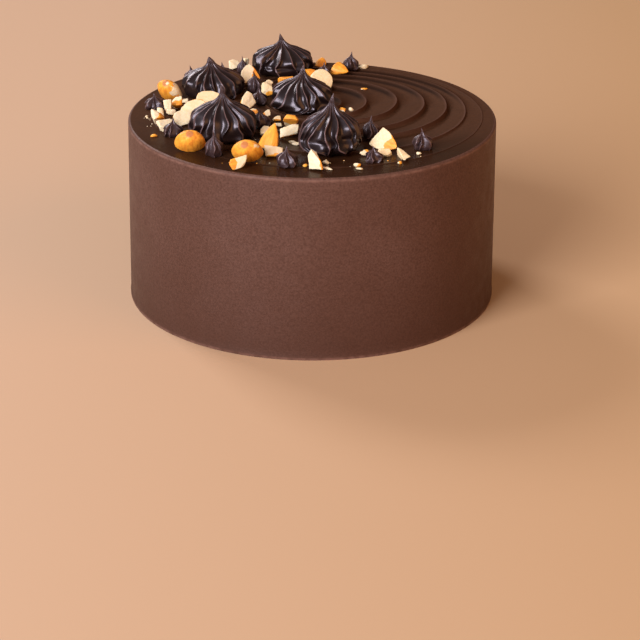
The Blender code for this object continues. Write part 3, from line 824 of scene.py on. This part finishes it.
class CAKE_OT_large_dollops(bpy.types.Operator):
    """Pipes the large dollops"""

    bl_idname = "cake.large_dollops"
    bl_label = "Pipe the Large Dollops"

    def execute(self, context):
        looks = context.scene.dollop_looks
        finish = piped_ganache(looks, "fresh_ganache", 1.0, looks.roughness)
        for index, dollop in enumerate(LARGE_DOLLOPS, 1):
            node = f"large_dollop_{index}"
            swells = SWELLS.get(index, ())
            pipe_dollop(node, dollop, LARGE_FLUTES, FLUTE_DEPTH, looks, index, swells, finish)
        return {"FINISHED"}


class CAKE_OT_small_dollops(bpy.types.Operator):
    """Pipes the small dollops"""

    bl_idname = "cake.small_dollops"
    bl_label = "Pipe the Small Dollops"

    def execute(self, context):
        looks = context.scene.dollop_looks
        dry = looks.roughness + SMALL_DRIER
        # A paler copy of the ganache as a painted sheen, and rougher.
        finish = piped_ganache(looks, "drier_ganache", SMALL_PALER, dry)
        for index, (*form, bend_to) in enumerate(SMALL_DOLLOPS, 1):
            node = f"small_dollop_{index:02d}"
            dollop = Dollop(*form, SMALL_NECK, SMALL_TWIST, 0, bend_to, SMALL_BEND)
            depth = SMALL_FLUTE_DEPTH
            pipe_dollop(node, dollop, SMALL_FLUTES, depth, looks, index, (), finish)
        return {"FINISHED"}


# Almonds


def whole_almond():
    """A whole almond as a bmesh, its long axis on X."""
    work = bmesh.new()
    bmesh.ops.create_uvsphere(work, u_segments=36, v_segments=30, radius=1.0)
    widest = BLUNT_POWER / (BLUNT_POWER + POINT_POWER)
    most = widest**BLUNT_POWER * (1 - widest) ** POINT_POWER
    for vertex in work.verts:
        along = clamped((vertex.co.z + 1) / 2)
        girth = along**BLUNT_POWER * (1 - along) ** POINT_POWER / most
        around = math.atan2(vertex.co.y, vertex.co.x)
        vertex.co = (
            (along - 0.5) * ALMOND_LENGTH,
            girth * ALMOND_WIDTH / 2 * math.cos(around),
            girth * ALMOND_THICK / 2 * math.sin(around) * abs(math.sin(around)) ** 0.25,
        )
    bmesh.ops.recalc_face_normals(work, faces=work.faces)
    return work


def slice_off(work, point, normal):
    """Takes off what lies beyond a plane and closes the cut with flesh."""
    parts = work.verts[:] + work.edges[:] + work.faces[:]
    bmesh.ops.bisect_plane(work, geom=parts, plane_co=point, plane_no=normal, clear_outer=True)
    rim = [edge for edge in work.edges if edge.is_boundary]
    if rim:
        for face in bmesh.ops.contextual_create(work, geom=rim)["faces"]:
            face.material_index = 1


def cut(work, axis, at, keep_above, draw):
    """Cuts the almond across an axis, a little askew."""
    normal = Vector()
    normal[axis] = -1.0 if keep_above else 1.0
    normal.rotate(Euler([draw.uniform(-CUT_WANDER, CUT_WANDER) for _ in range(3)]))
    point = Vector()
    point[axis] = at * MM
    slice_off(work, point, normal)


def break_corner(work, draw):
    """Knocks a corner off in a random direction."""
    normal = Vector([draw.gauss(0, 1) for _ in range(3)]).normalized()
    heights = [vertex.co.dot(normal) for vertex in work.verts]
    at = max(heights) - draw.uniform(0.1, 0.2) * (max(heights) - min(heights))
    slice_off(work, normal * at, normal)


def chopped_almond(nut, draw, corners):
    """The cut almond, with material 1 on its flesh."""
    work = whole_almond()
    cuts = 0
    for axis, limits in enumerate((nut.length, nut.width, nut.thick)):
        for limit, keep_above in zip(limits, (True, False)):
            if limit is not None:
                cut(work, axis, limit, keep_above, draw)
                cuts += 1
    if cuts > CLEAN_CUTS:
        for _ in range(corners):
            break_corner(work, draw)
    bmesh.ops.scale(work, vec=Vector((1, 1, 1)) * nut.size, verts=work.verts)
    bmesh.ops.remove_doubles(work, verts=work.verts, dist=0.02 * MM)
    bmesh.ops.triangulate(work, faces=work.faces)
    bmesh.ops.recalc_face_normals(work, faces=work.faces)
    return work


def refine(name, work, voxel, rounding):
    """Remeshes a closed bmesh into small even cells, rounds its edges and frees it."""
    mesh = bpy.data.meshes.new(name)
    work.to_mesh(mesh)
    tree = BVHTree.FromBMesh(work)
    is_flesh = [face.material_index == 1 for face in work.faces]
    work.free()
    source = new_object(name, mesh)
    cells = source.modifiers.new("cells", "REMESH")
    cells.mode = "VOXEL"
    cells.voxel_size = voxel
    fine = applied(source)
    soft = bmesh.new()
    soft.from_mesh(fine)
    for _ in range(rounding):
        bmesh.ops.smooth_vert(soft, verts=soft.verts, factor=0.5)
    soft.to_mesh(fine)
    soft.free()
    flesh = []
    for face in fine.polygons:
        flesh.append(1.0 if is_flesh[tree.find_nearest(face.center)[2]] else 0.0)
    total = [0.0] * len(fine.vertices)
    uses = [0] * len(fine.vertices)
    for face, value in zip(fine.polygons, flesh):
        for index in face.vertices:
            total[index] += value
            uses[index] += 1
    return fine, [a / max(b, 1) for a, b in zip(total, uses)]


def pointing(skin):
    """The direction of a skin or bare place as a vector."""
    around, up = math.radians(skin.towards), math.radians(skin.up)
    level = math.cos(up)
    return Vector((math.cos(around) * level, math.sin(around) * level, math.sin(up)))


def peel(mesh, flesh, index, facing, shift):
    """Where each point shows flesh, from 0 to 1, by its cuts or as listed."""
    middle = sum((vertex.co for vertex in mesh.vertices), Vector()) / len(mesh.vertices)
    found = []
    for vertex, bare in zip(mesh.vertices, flesh):
        stray = noise.noise(vertex.co * 330 + shift)
        if index in SKINS:
            skin = SKINS[index]
            outward = vertex.normal + 0.7 * (vertex.co - middle).normalized()
            away = (facing @ outward).angle(pointing(skin), 0.0)
            edge = math.radians(skin.reach) + 0.22 * stray
            bare = clamped(0.5 + 5 * (away - edge))
        for spot in BARE.get(index, ()):
            away = (facing @ (vertex.co - middle)).angle(pointing(spot), 0.0)
            bare = max(bare, hill(max(0.0, away + 0.25 * stray), math.radians(spot.reach)))
        found.append(bare)
    return found


def roughen(mesh, flesh, looks, shift):
    """Gives the skin its wrinkles and the flesh its broken relief."""
    normals = [vertex.normal.copy() for vertex in mesh.vertices]
    for vertex, normal, bare in zip(mesh.vertices, normals, flesh):
        at = vertex.co
        along = Vector((at.x * 130, at.y * 800, at.z * 800)) + shift
        lines = noise.noise(along) + 0.5 * noise.noise(along * 2.1)
        broken = 1.6 * noise.noise(at * 260 + shift) + 0.6 * noise.noise(at * 900 + shift)
        depth = (1 - bare) * looks.wrinkle * lines + bare * looks.fracture * broken
        vertex.co = at + normal * depth


def laid_down(mesh, turn, node):
    """The turn and move that lay a mesh in its node's place."""
    corners = [turn @ vertex.co for vertex in mesh.vertices]
    low = Vector([min(corner[axis] for corner in corners) for axis in range(3)])
    high = Vector([max(corner[axis] for corner in corners) for axis in range(3)])
    cad_low, cad_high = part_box(node)
    move = (cad_low + cad_high - low - high) / 2
    move.z = cad_low.z - low.z - SINK
    return Matrix.Translation(move) @ turn


class CAKE_OT_almonds(bpy.types.Operator):
    """Chops the almonds and lays each piece in its place"""

    bl_idname = "cake.almonds"
    bl_label = "Chop the Almonds"

    def execute(self, context):
        looks = context.scene.almond_looks
        finish = almond_finish(looks)
        for index, nut in enumerate(NUTS, 1):
            node = f"almond_{index:02d}"
            draw = random.Random(SEED + index)
            work = chopped_almond(nut, draw, 0 if index in SHARP else looks.corners)
            around = Matrix.Rotation(math.radians(nut.turn), 4, "Z")
            raised = Matrix.Rotation(-math.radians(nut.raised), 4, "Y")
            roll = Matrix.Rotation(math.radians(nut.roll), 4, "X")
            turn = around @ raised @ roll
            mesh, flesh = refine(f"chopped_{node}", work, looks.voxel, looks.rounding)
            shift = Vector((index * 3.7, index * 1.3, 0))
            flesh = peel(mesh, flesh, index, turn.to_3x3(), shift)
            blunt_end = Vector((-ALMOND_LENGTH / 2 * nut.size, 0, 0))
            scar = [hill((v.co - blunt_end).length, SCAR_WIDE) for v in mesh.vertices]
            roughen(mesh, flesh, looks, shift)
            pale = [draw.random()] * len(mesh.vertices)
            record_values(mesh, flesh=flesh, scar=scar, pale=pale)
            mesh.materials.clear()
            mesh.materials.append(finish)
            mesh.shade_smooth()
            piece = new_object(f"chopped_{node}", mesh)
            piece.matrix_world = laid_down(mesh, turn, node)
            place_on_root(piece, "almond", node)
        return {"FINISHED"}


def lumps(spots, cake, name, draw):
    """Joins small broken lumps that lie on the cake into one piece."""
    tree = BVHTree.FromObject(cake, bpy.context.evaluated_depsgraph_get())
    work = bmesh.new()
    flesh = []
    for x, y, size, turn, skin in spots:
        hit = tree.ray_cast(Vector((x, y, 2 * CAKE_HEIGHT)), Vector((0, 0, -1)))[0]
        if hit is None:
            continue
        made = bmesh.ops.create_icosphere(work, subdivisions=2, radius=0.5)["verts"]
        stretch = [draw.uniform(0.75, 1.1) for _ in range(3)]
        shift = Vector([draw.uniform(0, 50) for _ in range(3)])
        spin = Matrix.Rotation(math.radians(turn), 3, "Z")
        for vertex in made:
            at = vertex.co.copy()
            knobbed = 1 + 0.55 * noise.noise(at * 2.2 + shift)
            knobbed += 0.2 * noise.noise(at * 6 + shift)
            at = Vector([at[i] * size[i] * stretch[i] * knobbed for i in range(3)])
            vertex.co = spin @ at + hit + Vector((0, 0, size[2] * 0.32))
        ahead = Vector([draw.uniform(-1, 1) for _ in range(3)]).normalized()
        for vertex in made:
            side = (vertex.co - hit).normalized().dot(ahead)
            flesh.append(0.0 if side < 2 * skin - 1 else 1.0)
    mesh = bpy.data.meshes.new(name)
    work.to_mesh(mesh)
    work.free()
    record_values(mesh, flesh=flesh, pale=[CRUMB_PALE] * len(flesh))
    mesh.materials.append(bpy.data.materials["chopped_almond"])
    mesh.shade_smooth()
    return new_object(name, mesh)


class CAKE_OT_chips(bpy.types.Operator):
    """Scatters the small chips and crumbs of almond on the cake"""

    bl_idname = "cake.chips"
    bl_label = "Scatter the Chips and Crumbs"

    def execute(self, context):
        cake = bpy.data.objects["ganache_cake"]
        draw = random.Random(SEED)
        chips = [
            (x * MM, y * MM, Vector((long, wide, high)) * MM, turn, skin)
            for x, y, long, wide, high, turn, skin in CHIPS
        ]
        piece = lumps(chips, cake, "almond_chips", draw)
        place_on_root(piece, "almond", "cake")
        crumbs = []
        for middle_x, middle_y, spread, how_many in SPILLS:
            for _ in range(how_many):
                x = draw.gauss(middle_x, spread / 2) * MM
                y = draw.gauss(middle_y, spread / 2) * MM
                if math.hypot(x, y) > CAKE_RADIUS - RIM_CLEAR:
                    continue
                across = draw.uniform(0.3, 0.7) * MM
                size = Vector((across * draw.uniform(0.8, 1.8), across, across * 0.7))
                skin = 0.8 if draw.random() < 0.25 else 0.0
                crumbs.append((x, y, size, draw.uniform(0, 180), skin))
        piece = lumps(crumbs, cake, "almond_crumbs", draw)
        place_on_root(piece, "almond")
        return {"FINISHED"}


# The stage

CAMERA_PLACE = (0.0, -929.1 * MM, 389.9 * MM)
CAMERA_PITCH = 0.41292
CAMERA_YAW = 0.00425
CAMERA_ROLL = 0.00619
CAMERA_LENS = 124.48

# Area lights, aimed at the cake: place, size and tint.
AIM = Vector((0, 0, 0.07))
LIGHTS = {
    "key": ((-1.95, -2.6, 1.8), (1.9, 1.9), (0.985, 0.965, 1.0)),
    "fill": ((1.6, -1.0, 1.0), (1.7, 1.5), (1.0, 0.45, 0.13)),
    "window": ((-2.1, 2.5, 2.4), (1.3, 1.3), (1.0, 0.95, 0.96)),
}
# Where the even light comes from, most of all.
BRIGHT_SIDE = Vector((-0.4, -0.9, 0.25)).normalized()
FLOOR_HALF = 6.0
# The floor turns warmer from the first to the second of these places along X, a painted warm
# light from the right.
PAINTED_WARM_LIGHT = (-0.14, 0.2)


def add_light(name, place, size, power, tint):
    data = bpy.data.lights.new(name, "AREA")
    data.shape = "RECTANGLE"
    data.size, data.size_y = size
    data.energy = power
    data.color = tint
    light = new_object(name, data)
    light.location = place
    light.rotation_euler = (AIM - Vector(place)).to_track_quat("-Z", "Y").to_euler()


def add_camera():
    data = bpy.data.cameras.new("cake_camera")
    data.sensor_width = 36.0
    data.lens = CAMERA_LENS
    data.clip_start = 0.01
    camera = new_object("cake_camera", data)
    camera.matrix_world = (
        Matrix.Translation(CAMERA_PLACE)
        @ Matrix.Rotation(-CAMERA_YAW, 4, "Z")
        @ Matrix.Rotation(math.pi / 2 - CAMERA_PITCH, 4, "X")
        @ Matrix.Rotation(CAMERA_ROLL, 4, "Z")
    )
    bpy.context.scene.camera = camera


def soft_room(looks):
    """Even light that is brightest from the front left and dim from behind."""
    world = bpy.data.worlds.new("soft_room")
    world.use_nodes = True
    nodes, links = world.node_tree.nodes, world.node_tree.links
    direction = nodes.new("ShaderNodeTexCoord")
    towards = nodes.new("ShaderNodeVectorMath")
    towards.operation = "DOT_PRODUCT"
    towards.inputs[1].default_value = BRIGHT_SIDE
    ramp = nodes.new("ShaderNodeValToRGB")
    low, high = ramp.color_ramp.elements
    low.position, low.color = 0.1, (*looks.room_low, 1.0)
    high.position, high.color = 1.0, (*looks.room_high, 1.0)
    links.new(direction.outputs["Generated"], towards.inputs[0])
    links.new(towards.outputs["Value"], ramp.inputs["Fac"])
    links.new(ramp.outputs["Color"], nodes["Background"].inputs["Color"])
    nodes["Background"].inputs["Strength"].default_value = looks.room
    return world


class CAKE_OT_stage(bpy.types.Operator):
    """Lays the floor, painted warmer towards the right as warm light, and sets the lights and
    the camera
    """

    bl_idname = "cake.stage"
    bl_label = "Set the Stage"

    def execute(self, context):
        looks = context.scene.stage_looks
        work = bmesh.new()
        bmesh.ops.create_grid(work, x_segments=1, y_segments=1, size=FLOOR_HALF)
        mesh = bpy.data.meshes.new("floor")
        work.to_mesh(mesh)
        work.free()
        record_values(mesh, across=[vertex.co.x for vertex in mesh.vertices])
        shade = Shade("floor", looks.floor, 0.8)
        # Painted warm light: the floor turns warmer towards the right.
        across = shade.between(shade.attribute("across"), *PAINTED_WARM_LIGHT)
        mesh.materials.append(shade.finish(shade.mix(across, looks.floor, looks.floor_painted_warm_light)))
        new_object("floor", mesh)
        bpy.context.scene.world = soft_room(looks)
        bpy.context.scene.view_settings.view_transform = "Standard"
        for name, (place, size, tint) in LIGHTS.items():
            add_light(name, place, size, getattr(looks, f"{name}_power"), tint)
        add_camera()
        return {"FINISHED"}


class CAKE_PT_panel(bpy.types.Panel):
    """Lists the cake's steps and looks"""

    bl_idname = "CAKE_PT_panel"
    bl_label = "Chocolate Almond Cake"
    bl_space_type = "VIEW_3D"
    bl_region_type = "UI"
    bl_category = "Cake"

    def draw(self, context):
        for step in STEPS:
            self.layout.operator(step.bl_idname)
        for name in LOOKS:
            looks = getattr(context.scene, name)
            box = self.layout.box()
            for key in looks.__annotations__:
                box.prop(looks, key)


STEPS = (
    CAKE_OT_body,
    CAKE_OT_large_dollops,
    CAKE_OT_small_dollops,
    CAKE_OT_almonds,
    CAKE_OT_chips,
    CAKE_OT_stage,
)
LOOKS = {
    "cake_looks": CakeLooks,
    "dollop_looks": DollopLooks,
    "almond_looks": AlmondLooks,
    "stage_looks": StageLooks,
}


def register():
    for name, group in LOOKS.items():
        bpy.utils.register_class(group)
        setattr(bpy.types.Scene, name, PointerProperty(type=group))
    for step in STEPS:
        bpy.utils.register_class(step)
    bpy.utils.register_class(CAKE_PT_panel)


def unregister():
    bpy.utils.unregister_class(CAKE_PT_panel)
    for step in reversed(STEPS):
        bpy.utils.unregister_class(step)
    for name, group in LOOKS.items():
        delattr(bpy.types.Scene, name)
        bpy.utils.unregister_class(group)


def main():
    register()
    bpy.ops.cake.body()
    bpy.ops.cake.large_dollops()
    bpy.ops.cake.small_dollops()
    bpy.ops.cake.almonds()
    bpy.ops.cake.chips()
    bpy.ops.cake.stage()


if __name__ == "__main__":
    main()
